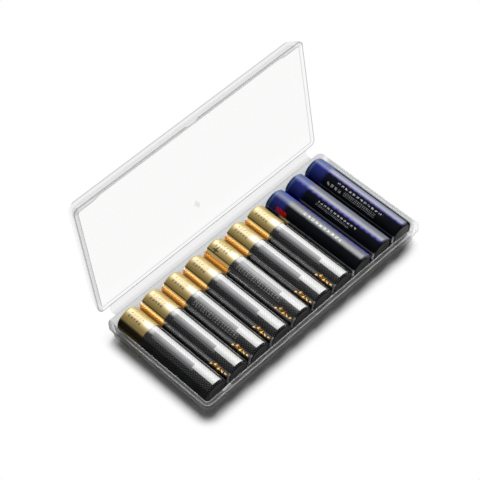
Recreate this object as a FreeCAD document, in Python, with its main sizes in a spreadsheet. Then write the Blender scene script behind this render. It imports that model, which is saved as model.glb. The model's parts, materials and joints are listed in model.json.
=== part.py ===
import FreeCAD, Part
import os
import re
import Sketcher

# A clear hinged box that stores ten AAA cells side by side, shown open and full.
# X runs along the row of cells, -Y is the front edge where the lid shuts, +Z is up.
# The origin is the centre of the tray's underside. Lengths are millimetres.

CELL_COUNT = 10
REST_OPENING = 99.7  # degrees that the lid stands open in the stored pose
FLAT_TURN = 180      # degrees in half a turn

# Every size that can be set by itself
DRIVING = [
    ("cell_diameter", 10.2, "over the label of one cell"),
    ("cell_length", 44.5, "negative face to the tip of the positive nub"),
    ("cell_gap", 0.25, "between the labels of two neighbours"),
    ("film", 0.15, "printed sleeve round a cell"),
    ("shoulder_round", 0.8, "sleeve's outer edge at the positive end"),
    ("shoulder_lip", 1.5, "how far the sleeve turns in over the positive end"),
    ("foot_round", 0.35, "sleeve's outer edge at the negative end"),
    ("foot_step", 0.25, "negative cap stands proud of the sleeve by this"),
    ("can_wall", 0.25, "drawn steel can"),
    ("nub_radius", 1.9, "positive nub"),
    ("nub_height", 0.9, "positive nub above the shoulder"),
    ("nub_round", 0.3, "edge of the positive nub"),
    ("seal_wall", 0.8, "seal plug's ring between can and cap"),
    ("cap_margin", 0.4, "sleeve's turned-in edge stops short of the cap by this"),
    ("cap_wall", 0.3, "negative cap"),
    ("cap_depth", 1.2, "negative cap over its flange"),
    ("cap_round", 0.25, "edge of the negative cap"),
    ("seal_depth", 1.3, "seal plug in the can's open end"),
    ("end_play", 0.575, "beside the first and last cell at the tray's mouth"),
    ("front_play", 1.4, "in front of the negative ends at the tray's mouth"),
    ("back_play", 0.5, "behind the positive nubs at the tray's mouth"),
    ("seat_gap", 0.1, "under the cells"),
    ("lid_play", 0.5, "over the cells with the lid shut"),
    ("rim_over_axis", 1.3, "tray's rim above the axis of the cells"),
    ("rim_width", 1.6, "flat top of the tray's wall"),
    ("rim_corner", 2.2, "plan radius of both rims, outside"),
    ("rim_gap", 0.1, "between the two rims with the lid shut"),
    ("mouth_corner", 0.9, "plan radius of both mouths, inside"),
    ("mouth_draft", 0.3, "tray and lid close in by this from mouth to floor"),
    ("tray_floor", 1.2, "thickness"),
    ("tray_band", 2.4, "height of the rim's outer band"),
    ("tray_step", 0.5, "rim's band stands proud of the wall by this"),
    ("tray_lean", 0.5, "wall leans in by this between band and underside"),
    ("tray_corner", 3.4, "plan radius of the underside"),
    ("tray_round", 2.4, "edge between wall and underside"),
    ("floor_corner", 1.6, "plan radius of the tray's floor, inside"),
    ("floor_round", 1.4, "fillet between wall and floor, inside"),
    ("lid_rim_width", 1.8, "flat edge of the lid's skirt"),
    ("lid_panel", 1.2, "thickness"),
    ("lid_band", 0.7, "upright part of the skirt beside its rim"),
    ("lid_lean", 1.3, "skirt leans in by this between band and panel"),
    ("lid_corner", 3.6, "plan radius of the panel, outside"),
    ("lid_round", 1.4, "edge between skirt and panel, outside"),
    ("ceiling_corner", 1.6, "plan radius of the lid's ceiling, inside"),
    ("ceiling_round", 0.7, "fillet between skirt and panel, inside"),
    ("tongue_height", 0.45, "snap tongue above the tray's front rim"),
    ("tongue_setback", 1.1, "tongue stands back from the front face by this"),
    ("tongue_inset", 8.6, "tongue's ramps start this far from the box's ends"),
    ("tongue_ramp", 3.4, "length of the ramp at each end of the tongue"),
    ("tongue_gap", 0.1, "round the tongue in its groove"),
    ("hinge_reach", 2.4, "from the back of either rim to the fold"),
    ("hinge_inset", 4.8, "hinge strap stops short of the box's ends"),
    ("hinge_film", 0.45, "thickness of the hinge strap"),
    ("notch_ball", 9.0, "radius of the ball that scoops the thumb notch"),
    ("notch_drop", 2.4, "ball's centre below the lid's rim"),
    ("notch_depth", 0.7, "thumb notch at the lid's rim"),
    ("gate_radius", 1.7, "round mark of the moulding gate inside the lid"),
    ("gate_depth", 0.2, "moulding gate's mark"),
    ("overrun", 0.5, "cutting shapes run past the surface by this"),
]

# Sizes that follow from those
WORKED = [
    ("pitch", "cell_diameter + cell_gap"),
    ("row_length", f"{CELL_COUNT} * pitch - cell_gap"),
    ("mouth_length", "row_length + 2 * end_play"),
    ("mouth_depth", "cell_length + front_play + back_play"),
    ("case_length", "mouth_length + 2 * rim_width"),
    ("case_depth", "mouth_depth + 2 * rim_width"),
    ("cell_radius", "cell_diameter / 2"),
    ("foot_y", "front_play - mouth_depth / 2"),
    ("axis_height", "tray_floor + seat_gap + cell_radius"),
    ("tray_height", "axis_height + rim_over_axis"),
    ("lid_rise", "cell_radius - rim_over_axis - rim_gap + lid_play"),
    ("lid_height", "lid_rise + lid_panel"),
    ("lid_base", "tray_height + rim_gap"),
    ("hinge_y", "case_depth / 2 + hinge_reach"),
    ("hinge_z", "tray_height + rim_gap / 2"),
    ("hinge_length", "case_length - 2 * hinge_inset"),
    ("hinge_shell", "hinge_film + rim_gap / 2"),
    ("can_radius", "cell_radius - film"),
    ("bore_radius", "can_radius - can_wall"),
    ("cap_radius", "bore_radius - seal_wall"),
    ("sleeve_foot", "foot_step"),
    ("sleeve_top", "cell_length - nub_height"),
    ("can_foot", "sleeve_foot + film"),
    ("can_top", "sleeve_top - film"),
    ("core_foot", "can_foot + seal_depth"),
    ("core_top", "can_top - can_wall"),
]

SHEET_OF = {alias: "Sizes" for alias, value, meaning in DRIVING}
SHEET_OF.update({alias: "Worked" for alias, formula in WORKED})

doc = FreeCAD.newDocument("CellCase")


def tie(expression):
    """Write the sheet's name in front of each alias in an expression."""
    def full_name(match):
        word = match.group()
        return f"{SHEET_OF[word]}.{word}" if word in SHEET_OF else word
    return re.sub(r"[a-z_]+", full_name, expression)


sizes = doc.addObject("Spreadsheet::Sheet", "Sizes")
for row, (alias, value, meaning) in enumerate(DRIVING, start=1):
    sizes.set(f"A{row}", str(value))
    sizes.set(f"B{row}", meaning)
    sizes.setAlias(f"A{row}", alias)
doc.recompute()

worked = doc.addObject("Spreadsheet::Sheet", "Worked")
for row, (alias, formula) in enumerate(WORKED, start=1):
    worked.set(f"A{row}", "=" + tie(formula).replace("Worked.", ""))
    worked.setAlias(f"A{row}", alias)
    doc.recompute()


def value_of(expression):
    """The number that an expression of aliases comes to."""
    return float(doc.Sizes.evalExpression(tie(expression)))


def new_body(label):
    body = doc.addObject("PartDesign::Body", label)
    body.Label = label
    return body


def finish_feature(body, feature):
    """Make a feature the body's result and work it out."""
    body.Tip = feature
    doc.recompute()
    return feature


def new_sketch(body, name, role, offset="0"):
    """A sketch on one of the body's own planes, moved along that plane's normal."""
    plane = next(feature for feature in body.Origin.OriginFeatures if feature.Role == role)
    sketch = body.newObject("Sketcher::SketchObject", name)
    sketch.AttachmentSupport = [(plane, "")]
    sketch.MapMode = "FlatFace"
    sketch.setExpression("AttachmentOffset.Base.z", tie(offset))
    return sketch


def bind(sketch, constraint, name, expression):
    """Add a dimension and tie it to the sheets."""
    index = sketch.addConstraint(constraint)
    sketch.renameConstraint(index, name)
    sketch.setExpression(f"Constraints.{name}", tie(expression))


def draw_outline(sketch, corners):
    """A closed outline of straight runs through corners, each a pair of expressions."""
    places = [FreeCAD.Vector(value_of(across), value_of(along), 0) for across, along in corners]
    last = len(corners) - 1
    for here in range(len(corners)):
        after = 0 if here == last else here + 1
        sketch.addGeometry(Part.LineSegment(places[here], places[after]), False)
    for here in range(len(corners)):
        after = 0 if here == last else here + 1
        sketch.addConstraint(Sketcher.Constraint("Coincident", here, 2, after, 1))
    for here, (across, along) in enumerate(corners):
        place = places[here]
        if across == "0":
            sketch.addConstraint(Sketcher.Constraint("PointOnObject", here, 1, -2))
        else:
            width = Sketcher.Constraint("DistanceX", -1, 1, here, 1, place.x)
            bind(sketch, width, f"across_{here}", across)
        if along == "0":
            sketch.addConstraint(Sketcher.Constraint("PointOnObject", here, 1, -1))
        else:
            height = Sketcher.Constraint("DistanceY", -1, 1, here, 1, place.y)
            bind(sketch, height, f"along_{here}", along)


def draw_rounded_rectangle(sketch, length, depth, radius):
    """A rectangle with round corners about the sketch's origin."""
    far_x = value_of(length) / 2
    far_y = value_of(depth) / 2
    corner = value_of(radius)
    near_x = far_x - corner
    near_y = far_y - corner
    sides = [
        ((-near_x, -far_y), (near_x, -far_y)),
        ((far_x, -near_y), (far_x, near_y)),
        ((near_x, far_y), (-near_x, far_y)),
        ((-far_x, near_y), (-far_x, -near_y)),
    ]
    centres = [(near_x, -near_y), (near_x, near_y), (-near_x, near_y), (-near_x, -near_y)]
    quarter = FreeCAD.Units.Quantity("90 deg").getValueAs("rad").Value
    for start, end in sides:
        sketch.addGeometry(Part.LineSegment(FreeCAD.Vector(*start), FreeCAD.Vector(*end)), False)
    for turn, centre in enumerate(centres):
        circle = Part.Circle(FreeCAD.Vector(*centre), FreeCAD.Vector(0, 0, 1), corner)
        arc = Part.ArcOfCircle(circle, (turn - 1) * quarter, turn * quarter)
        sketch.addGeometry(arc, False)
    for side in range(4):
        sketch.addConstraint(Sketcher.Constraint("Tangent", side, 2, side + 4, 1))
        sketch.addConstraint(Sketcher.Constraint("Tangent", side + 4, 2, (side + 1) % 4, 1))
    for side in (0, 2):
        sketch.addConstraint(Sketcher.Constraint("Horizontal", side))
    for side in (1, 3):
        sketch.addConstraint(Sketcher.Constraint("Vertical", side))
    sketch.addConstraint(Sketcher.Constraint("Equal", 4, 5))
    sketch.addConstraint(Sketcher.Constraint("Equal", 4, 6))
    sketch.addConstraint(Sketcher.Constraint("Equal", 4, 7))
    bind(sketch, Sketcher.Constraint("Radius", 4, corner), "corner", radius)
    bind(sketch, Sketcher.Constraint("DistanceX", -1, 1, 1, 1, far_x), "right", f"({length}) / 2")
    bind(sketch, Sketcher.Constraint("DistanceX", 3, 1, 1, 2, 2 * far_x), "length", length)
    bind(sketch, Sketcher.Constraint("DistanceY", -1, 1, 2, 1, far_y), "back", f"({depth}) / 2")
    bind(sketch, Sketcher.Constraint("DistanceY", 0, 1, 2, 2, 2 * far_y), "depth", depth)


def outline_at(body, name, level, inset, radius):
    """A rounded outline at one height, inset on all sides from the case's rim."""
    sketch = new_sketch(body, name, "XY_Plane", level)
    draw_rounded_rectangle(
        sketch, f"case_length - 2 * ({inset})", f"case_depth - 2 * ({inset})", radius)
    return sketch


def add_loft(body, kind, name, first, second):
    """Straight walls between two outlines, added or taken away."""
    loft = body.newObject(f"PartDesign::{kind}Loft", name)
    loft.Profile = first
    loft.Sections = [second]
    loft.Ruled = True
    return finish_feature(body, loft)


def add_pad(body, name, sketch, length, is_reversed=False):
    pad = body.newObject("PartDesign::Pad", name)
    pad.Profile = sketch
    pad.setExpression("Length", tie(length))
    pad.Reversed = is_reversed
    return finish_feature(body, pad)


def add_pocket(body, name, sketch, length, is_reversed=False):
    """Cut a sketch into the body and make sure that something was cut."""
    before = body.Shape.Volume
    pocket = body.newObject("PartDesign::Pocket", name)
    pocket.Profile = sketch
    pocket.setExpression("Length", tie(length))
    pocket.Reversed = is_reversed
    finish_feature(body, pocket)
    if not body.Shape.Volume < before:
        raise RuntimeError(f"{name} cuts nothing")
    return pocket


def edges_where(body, level, test):
    """Names of the edges that lie flat at one height and pass a test on their middle."""
    names = []
    near = value_of("film") / 10
    for index, edge in enumerate(body.Tip.Shape.Edges, start=1):
        box = edge.BoundBox
        middle = edge.valueAt((edge.FirstParameter + edge.LastParameter) / 2)
        if abs(box.ZMin - level) < near and abs(box.ZMax - level) < near and test(middle):
            names.append(f"Edge{index}")
    return names


def add_fillet(body, name, edges, radius):
    base = body.Tip
    fillet = body.newObject("PartDesign::Fillet", name)
    fillet.Base = (base, edges)
    fillet.setExpression("Radius", tie(radius))
    return finish_feature(body, fillet)


def everywhere(middle):
    return True


def draw_tongue(sketch, base, top, gap):
    """Front view of the snap tongue: a long bar with a ramp at each end."""
    foot = f"(case_length / 2 - tongue_inset + {gap})"
    crest = f"({foot} - tongue_ramp)"
    draw_outline(sketch, [(f"-{foot}", base), (foot, base), (crest, top), (f"-{crest}", top)])


# Tray: drafted walls under an upright band, then the hollow, then the tongue.
tray = new_body("tray")
band_foot = "tray_height - tray_band"
underside = outline_at(tray, "underside", "0", "tray_step + tray_lean", "tray_corner")
under_band = outline_at(tray, "under_band", band_foot, "tray_step", "rim_corner")
add_loft(tray, "Additive", "wall", under_band, underside)
add_fillet(tray, "edge_round", edges_where(tray, 0, everywhere), "tray_round")
band_outline = outline_at(tray, "band_outline", band_foot, "0", "rim_corner")
add_pad(tray, "band", band_outline, "tray_band")
tray_mouth = outline_at(tray, "tray_mouth", "tray_height", "rim_width", "mouth_corner")
tray_bed = outline_at(
    tray, "tray_bed", "tray_floor", "rim_width + mouth_draft", "floor_corner")
add_loft(tray, "Subtractive", "hollow", tray_mouth, tray_bed)
bed_edges = edges_where(tray, value_of("tray_floor"), everywhere)
add_fillet(tray, "bed_round", bed_edges, "floor_round")
tongue_outline = new_sketch(tray, "tongue_outline", "XZ_Plane", "case_depth / 2 - rim_width")
draw_tongue(tongue_outline, "tray_height", "tray_height + tongue_height", "0")
add_pad(tray, "tongue", tongue_outline, "rim_width - tongue_setback")

# Lid: drawn shut over the tray, then turned open about the fold line.
lid = new_body("lid")
lid_top = "lid_base + lid_height"
ceiling = "lid_base + lid_rise"
skirt_foot = outline_at(lid, "skirt_foot", "lid_base", "0", "rim_corner")
add_pad(lid, "skirt_band", skirt_foot, "lid_band")
skirt_low = outline_at(lid, "skirt_low", "lid_base + lid_band", "0", "rim_corner")
panel_outline = outline_at(lid, "panel_outline", lid_top, "lid_lean", "lid_corner")
add_loft(lid, "Additive", "skirt", panel_outline, skirt_low)
add_fillet(lid, "panel_round", edges_where(lid, value_of(lid_top), everywhere), "lid_round")
lid_mouth = outline_at(lid, "lid_mouth", "lid_base", "lid_rim_width", "mouth_corner")
lid_ceiling = outline_at(
    lid, "lid_ceiling", ceiling, "lid_rim_width + mouth_draft", "ceiling_corner")
add_loft(lid, "Subtractive", "lid_hollow", lid_mouth, lid_ceiling)
ceiling_edges = edges_where(lid, value_of(ceiling), everywhere)
add_fillet(lid, "ceiling_fillet", ceiling_edges, "ceiling_round")

groove_face = "case_depth / 2 - tongue_setback + tongue_gap"
groove_outline = new_sketch(lid, "groove_outline", "XZ_Plane", groove_face)
draw_tongue(groove_outline, "lid_base", "lid_base + tongue_height", "tongue_gap")
groove_run = "lid_rim_width - tongue_setback + tongue_gap + overrun"
add_pocket(lid, "tongue_groove", groove_outline, groove_run)

gate_circle = new_sketch(lid, "gate_circle", "XY_Plane", ceiling)
gate_circle.addGeometry(
    Part.Circle(FreeCAD.Vector(), FreeCAD.Vector(0, 0, 1), value_of("gate_radius")), False)
gate_circle.addConstraint(Sketcher.Constraint("Coincident", 0, 3, -1, 1))
bind(gate_circle, Sketcher.Constraint("Radius", 0, value_of("gate_radius")), "gate", "gate_radius")
add_pocket(lid, "gate_mark", gate_circle, "gate_depth", is_reversed=True)

before_notch = lid.Shape.Volume
notch = lid.newObject("PartDesign::SubtractiveSphere", "thumb_notch")
notch.setExpression("Radius", tie("notch_ball"))
reach = "sqrt(notch_ball * notch_ball - notch_drop * notch_drop)"
notch.setExpression("Placement.Base.y", tie(f"notch_depth - case_depth / 2 - {reach}"))
notch.setExpression("Placement.Base.z", tie("lid_base - notch_drop"))
finish_feature(lid, notch)
if not lid.Shape.Volume < before_notch:
    raise RuntimeError("thumb_notch cuts nothing")

fold_line = FreeCAD.Vector(0, value_of("hinge_y"), value_of("hinge_z"))
opened = FreeCAD.Rotation(FreeCAD.Vector(1, 0, 0), -REST_OPENING)
lid.Placement = FreeCAD.Placement(FreeCAD.Vector(), opened, fold_line)


# Hinge strap: one leaf on the tray, one on the lid and the round of the fold.
def new_leaf(name):
    leaf = doc.addObject("Part::Box", name)
    leaf.setExpression("Length", tie("hinge_length"))
    leaf.setExpression("Width", tie("hinge_reach"))
    leaf.setExpression("Height", tie("hinge_film"))
    return leaf


left_end = FreeCAD.Vector(-value_of("hinge_length") / 2, 0, 0)
leaf_corner = left_end - FreeCAD.Vector(0, value_of("hinge_reach"), 0)
tray_leaf = new_leaf("tray_leaf")
below_fold = FreeCAD.Vector(0, 0, value_of("hinge_shell"))
tray_leaf.Placement.Base = fold_line + leaf_corner - below_fold
lid_leaf = new_leaf("lid_leaf")
above_fold = FreeCAD.Vector(0, 0, value_of("rim_gap") / 2)
lid_leaf.Placement = FreeCAD.Placement(
    fold_line + opened.multVec(leaf_corner + above_fold), opened)
fold = doc.addObject("Part::Cylinder", "fold")
fold.setExpression("Radius", tie("hinge_shell"))
fold.setExpression("Height", tie("hinge_length"))
fold.Angle = FLAT_TURN - REST_OPENING
along_row = FreeCAD.Rotation(FreeCAD.Vector(0, 1, 0), FLAT_TURN / 2)
fold.Placement = FreeCAD.Placement(fold_line + left_end, along_row)
strap = doc.addObject("Part::MultiFuse", "living_hinge")
strap.Label = "living_hinge"
strap.Shapes = [tray_leaf, fold, lid_leaf]
strap.Refine = True
doc.recompute()


# Cells: every piece is turned about the cell's own axis. In these outlines the first
# number of a corner is its radius and the second its distance from the negative face.
CELL_OUTLINES = {
    "can": [
        ("bore_radius", "can_foot"),
        ("can_radius", "can_foot"),
        ("can_radius", "can_top"),
        ("nub_radius", "can_top"),
        ("nub_radius", "cell_length"),
        ("0", "cell_length"),
        ("0", "core_top"),
        ("bore_radius", "core_top"),
    ],
    "sleeve": [
        ("cap_radius + cap_margin", "sleeve_foot"),
        ("cell_radius", "sleeve_foot"),
        ("cell_radius", "sleeve_top"),
        ("cell_radius - shoulder_lip", "sleeve_top"),
        ("cell_radius - shoulder_lip", "can_top"),
        ("can_radius", "can_top"),
        ("can_radius", "can_foot"),
        ("cap_radius + cap_margin", "can_foot"),
    ],
    "base_cap": [
        ("0", "0"),
        ("cap_radius", "0"),
        ("cap_radius", "cap_depth"),
        ("cap_radius - cap_wall", "cap_depth"),
        ("cap_radius - cap_wall", "cap_wall"),
        ("0", "cap_wall"),
    ],
    "seal": [
        ("cap_radius", "can_foot"),
        ("bore_radius", "can_foot"),
        ("bore_radius", "core_foot"),
        ("0", "core_foot"),
        ("0", "cap_depth"),
        ("cap_radius", "cap_depth"),
    ],
    "core": [
        ("0", "core_foot"),
        ("bore_radius", "core_foot"),
        ("bore_radius", "core_top"),
        ("0", "core_top"),
    ],
}

# Rounded ring edges of those pieces: radius, distance from the negative face, rounding
CELL_ROUNDS = {
    "can": [
        ("can_radius", "can_top", "shoulder_round - film"),
        ("can_radius", "can_foot", "foot_round - film"),
        ("nub_radius", "cell_length", "nub_round"),
    ],
    "sleeve": [
        ("cell_radius", "sleeve_top", "shoulder_round"),
        ("can_radius", "can_top", "shoulder_round - film"),
        ("cell_radius", "sleeve_foot", "foot_round"),
        ("can_radius", "can_foot", "foot_round - film"),
    ],
    "base_cap": [("cap_radius", "0", "cap_round")],
    "seal": [],
    "core": [],
}


def ring_edge(body, radius, place):
    """Name of the round edge of one radius at one distance along the cell."""
    near = value_of("film") / 10
    for index, edge in enumerate(body.Tip.Shape.Edges, start=1):
        curve = edge.Curve
        if not isinstance(curve, Part.Circle):
            continue
        if abs(curve.Radius - radius) < near and abs(curve.Center.y - place) < near:
            return f"Edge{index}"
    raise RuntimeError(f"{body.Label} has no round edge there")


def build_cell_piece(piece, index):
    """One piece of one cell, laid in its place in the row."""
    body = new_body(f"cell_{index + 1}_{piece}")
    sketch = new_sketch(body, "section", "XY_Plane")
    draw_outline(sketch, CELL_OUTLINES[piece])
    turned = body.newObject("PartDesign::Revolution", "turned")
    turned.Profile = sketch
    turned.ReferenceAxis = (sketch, ["V_Axis"])
    finish_feature(body, turned)
    for number, (radius, place, rounding) in enumerate(CELL_ROUNDS[piece], start=1):
        edge = ring_edge(body, value_of(radius), value_of(place))
        add_fillet(body, f"round_{number}", [edge], rounding)
    body.setExpression("Placement.Base.x", tie(f"{index} * pitch + cell_radius - row_length / 2"))
    body.setExpression("Placement.Base.y", tie("foot_y"))
    body.setExpression("Placement.Base.z", tie("axis_height"))
    return body


subparts = [tray, lid, strap]
for index in range(CELL_COUNT):
    for piece in CELL_OUTLINES:
        subparts.append(build_cell_piece(piece, index))
doc.recompute()

# Nothing is written unless every object is sound.
for thing in doc.Objects:
    if "Invalid" in thing.State or "Error" in thing.State:
        raise RuntimeError(f"{thing.Label} failed: {thing.getStatusString()}")
for subpart in subparts:
    shape = subpart.Shape
    if shape.isNull() or not shape.isValid() or len(shape.Solids) != 1:
        raise RuntimeError(f"{subpart.Label} is not one valid solid")

os.makedirs("parts", exist_ok=True)
for subpart in subparts:
    subpart.Shape.exportStep(os.path.join("parts", f"{subpart.Label}.step"))
print(f"{len(subparts)} pieces, shut height {value_of('lid_base + lid_height'):.2f} mm")
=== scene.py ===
# %% [markdown]
# # A clear hinged case with ten cells
# This lesson dresses a finished model: a flat see-through box with a lid on a bendy strap,
# holding ten cells in printed sleeves. The solids come in with their real sizes, so
# nothing here moves or resizes them. What is left is how they look: clear moulded plastic,
# metallic print, bare steel, a bright table and soft light.

# %% Load the solids
import json
import math

import bmesh
import bpy
from mathutils import Matrix, Vector


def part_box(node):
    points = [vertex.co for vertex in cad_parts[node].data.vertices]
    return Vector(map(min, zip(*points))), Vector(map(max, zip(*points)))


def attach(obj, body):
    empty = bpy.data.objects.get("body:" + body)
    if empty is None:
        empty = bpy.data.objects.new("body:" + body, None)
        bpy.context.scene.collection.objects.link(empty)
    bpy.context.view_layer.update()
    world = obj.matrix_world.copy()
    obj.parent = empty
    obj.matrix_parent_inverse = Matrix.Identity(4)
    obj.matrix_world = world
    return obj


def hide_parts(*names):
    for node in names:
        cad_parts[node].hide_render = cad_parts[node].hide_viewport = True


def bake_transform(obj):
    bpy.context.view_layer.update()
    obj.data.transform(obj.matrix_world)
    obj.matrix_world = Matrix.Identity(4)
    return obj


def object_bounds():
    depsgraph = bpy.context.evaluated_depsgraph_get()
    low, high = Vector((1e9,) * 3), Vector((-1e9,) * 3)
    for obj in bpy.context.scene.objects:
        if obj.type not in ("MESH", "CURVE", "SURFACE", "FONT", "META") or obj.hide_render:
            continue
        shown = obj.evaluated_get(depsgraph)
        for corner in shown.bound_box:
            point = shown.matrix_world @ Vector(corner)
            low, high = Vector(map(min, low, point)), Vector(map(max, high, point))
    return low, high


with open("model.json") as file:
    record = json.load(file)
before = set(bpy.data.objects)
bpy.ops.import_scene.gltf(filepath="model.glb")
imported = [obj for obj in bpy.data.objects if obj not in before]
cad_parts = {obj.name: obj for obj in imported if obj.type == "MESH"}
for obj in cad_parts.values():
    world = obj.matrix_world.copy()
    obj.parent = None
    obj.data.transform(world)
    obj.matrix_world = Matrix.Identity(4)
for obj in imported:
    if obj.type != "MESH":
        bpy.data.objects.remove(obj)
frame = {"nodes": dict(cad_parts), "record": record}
solid_box = [list(corner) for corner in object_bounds()]
MM = 0.001

# %% [markdown]
# ## Where things are
# Every printed mark has to land on its own cell, so each cell's axis is read from the
# solid itself instead of being typed in. A sleeve is a tube along Y: the middle of its box
# gives the axis, and its two ends give the shoulder (plus) and the foot (minus). The tray's
# box gives the outline that both rims follow.

# %% Measure the cells and the case
CELL_COUNT = 10
GOLD_CELLS = range(1, 8)


def sleeve_name(cell):
    return f"cell_{cell}_sleeve"


def cell_axis(cell):
    """X and Z of the cell's axis, Y of its plus end and the sleeve's radius, in mm."""
    low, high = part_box(sleeve_name(cell))
    middle_x = (low[0] + high[0]) / 2 / MM
    middle_z = (low[2] + high[2]) / 2 / MM
    return middle_x, middle_z, high[1] / MM, (high[0] - low[0]) / 2 / MM


sleeve_low, sleeve_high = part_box(sleeve_name(1))
SLEEVE_LENGTH = (sleeve_high[1] - sleeve_low[1]) / MM
tray_high = Vector(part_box("tray")[1])
CASE_HALF_X, CASE_HALF_Y = tray_high.x / MM, tray_high.y / MM
print("sleeve", round(SLEEVE_LENGTH, 2), "mm, first axis at x", round(cell_axis(1)[0], 3))
print("case", round(2 * CASE_HALF_X, 1), "by", round(2 * CASE_HALF_Y, 1), "mm")

# %% [markdown]
# ## Shader sums in plain Python
# A printed sleeve is mostly arithmetic: how far along, how far round, inside this band or
# not. Wiring that by hand takes hundreds of clicks. A small class that wraps one output
# socket lets Python's own signs add the Math nodes, so `1 - mask` reads as it should.

# %% A socket that can be added and multiplied
class Signal:
    """One output socket of a shader tree, usable in a Python expression."""

    def __init__(self, tree, socket=None):
        self.tree = tree
        self.socket = socket

    def make(self, kind, settings, sockets, output=0):
        """Add a node: its settings first, then a value or a link for each socket."""
        node = self.tree.nodes.new(kind)
        for name, value in settings.items():
            setattr(node, name, value)
        for name, value in sockets.items():
            if isinstance(value, Signal):
                self.tree.links.new(value.socket, node.inputs[name])
            else:
                node.inputs[name].default_value = value
        return Signal(self.tree, node.outputs[output])

    def maths(self, operation, *values):
        """Add a Math node; each value is a number or another signal."""
        return self.make("ShaderNodeMath", {"operation": operation}, dict(enumerate(values)))

    def __add__(self, other):
        return self.maths("ADD", self, other)

    def __sub__(self, other):
        return self.maths("SUBTRACT", self, other)

    def __rsub__(self, other):
        return self.maths("SUBTRACT", other, self)

    def __mul__(self, other):
        return self.maths("MULTIPLY", self, other)

    __radd__ = __add__
    __rmul__ = __mul__

    def rise(self, low, high):
        """0 below low, 1 above high and a smooth step between them."""
        return self.make(
            "ShaderNodeMapRange", {"interpolation_type": "SMOOTHSTEP"},
            {"Value": self, "From Min": low, "From Max": high})

    def between(self, low, high, soft):
        """1 from low to high, with edges of the given softness."""
        return self.rise(low - soft, low + soft) * (1 - self.rise(high - soft, high + soft))

    def wave(self, pitch):
        """A cosine that repeats every pitch."""
        return self.maths("COSINE", self * (2 * math.pi / pitch))


print("signal class ready")

# %% [markdown]
# ## Steps that every finish shares
# Each finish starts from an empty material. A mask blends its colours, a noise that is fixed
# to the piece gives it grain, and a bump gives that grain a depth in millimetres. Colours go
# through a Mix node, because a Math node would turn them grey.

# %% Colours, grain and relief
def rgb(red, green, blue):
    return (red, green, blue, 1.0)


def grey(level):
    return rgb(level, level, level)


def darker(colour, share):
    return rgb(*(share * part for part in colour[:3]))


def blend_colour(factor, first, second):
    """first where factor is 0 and second where it is 1; either may be a colour or a link.

    A Mix node has sockets of one name for every kind of data, so they go by number: 6 and 7
    are its colours, and output 2 is their blend.
    """
    return factor.make(
        "ShaderNodeMix", {"data_type": "RGBA"}, {0: factor, 6: first, 7: second}, output=2)


def surface_noise(start, scale, detail):
    """A cloudy noise from 0 to 1 that stays on the piece; scale is in waves per metre."""
    where = start.make("ShaderNodeTexCoord", {}, {}, output="Object")
    return start.make("ShaderNodeTexNoise", {}, {"Vector": where, "Scale": scale, "Detail": detail})


def bump(height, depth_mm, strength):
    """A Bump node: height, 0 to 1, stands for depth_mm of relief."""
    return height.make("ShaderNodeBump", {}, {
        "Height": height, "Distance": depth_mm * MM, "Strength": strength})


print("a mid grey is", grey(0.5))

# %% [markdown]
# ## From shader to surface
# Most finishes need two shaders: see-through and glossy for plastic, shiny and matt for
# print. A Mix Shader's factor says where each one shows, so a mask decides that too.

# %% Materials and where they go
def new_material(name):
    """An empty material, its Principled shader and a Signal to start from."""
    material = bpy.data.materials.new(name)
    material.use_nodes = True
    tree = material.node_tree
    return material, tree.nodes["Principled BSDF"], Signal(tree)


def feed(shader, **sockets):
    """Set or link sockets of a shader; Base_Color stands for Base Color."""
    for name, value in sockets.items():
        socket = shader.inputs[name.replace("_", " ")]
        if isinstance(value, Signal):
            value.tree.links.new(value.socket, socket)
        else:
            socket.default_value = value


def output_of(start, shader):
    """The output of a shader node that was set up by hand."""
    return Signal(start.tree, shader.outputs[0])


def mix_shaders(factor, first, second):
    """first where factor is 0 and second where it is 1."""
    return factor.make("ShaderNodeMixShader", {}, {0: factor, 1: first, 2: second})


def show_on_surface(result):
    """Lead a shader to the material's output."""
    output = result.tree.nodes["Material Output"]
    result.tree.links.new(result.socket, output.inputs["Surface"])


def dress(node, material):
    """Give a solid one material."""
    mesh = frame["nodes"][node].data
    mesh.materials.clear()
    mesh.materials.append(material)


def add_object(name, shape, mesh_name):
    """Put a finished bmesh into the scene as an object."""
    mesh = bpy.data.meshes.new(mesh_name)
    shape.to_mesh(mesh)
    shape.free()
    piece = bpy.data.objects.new(name, mesh)
    bpy.context.scene.collection.objects.link(piece)
    return piece


print("ready to dress", len(frame["nodes"]), "solids")

# %% [markdown]
# ## Places on the case
# Rim lines, walls and the table's glow all depend on where a point lies. The point comes in
# millimetres. The case's rounded outline becomes one distance: 0 on the rim's outer edge,
# less inside and more outside. A line along the rim is then a narrow band of that distance.

# %% Point and distance
def place_in_mm(start):
    """X, Y and Z of the point being shaded, in mm, as the solids lie at rest."""
    where = start.make("ShaderNodeTexCoord", {}, {}, output="Object")
    node = where.make("ShaderNodeSeparateXYZ", {}, {0: where}).socket.node
    return [Signal(start.tree, part) * (1 / MM) for part in node.outputs]


def outline_distance(x, y, corner):
    """Distance in mm from the case's outline, with the given corner radius."""
    over_x = x.maths("ABSOLUTE", x) - (CASE_HALF_X - corner)
    over_y = y.maths("ABSOLUTE", y) - (CASE_HALF_Y - corner)
    out_x = x.maths("MAXIMUM", over_x, 0.0)
    out_y = x.maths("MAXIMUM", over_y, 0.0)
    outside = x.maths("SQRT", out_x * out_x + out_y * out_y)
    inside = x.maths("MINIMUM", x.maths("MAXIMUM", over_x, over_y), 0.0)
    return outside + inside - corner


print("outline reaches", round(CASE_HALF_X, 1), "mm to each side of the middle")

# %% [markdown]
# ## The camera
# The photo looks down on the box's front left corner with a long lens. Matching a
# handful of edges in it gives the direction, the distance and the lens, so the camera is
# placed from those numbers: straight back from the box and then a little to the side.

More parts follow.
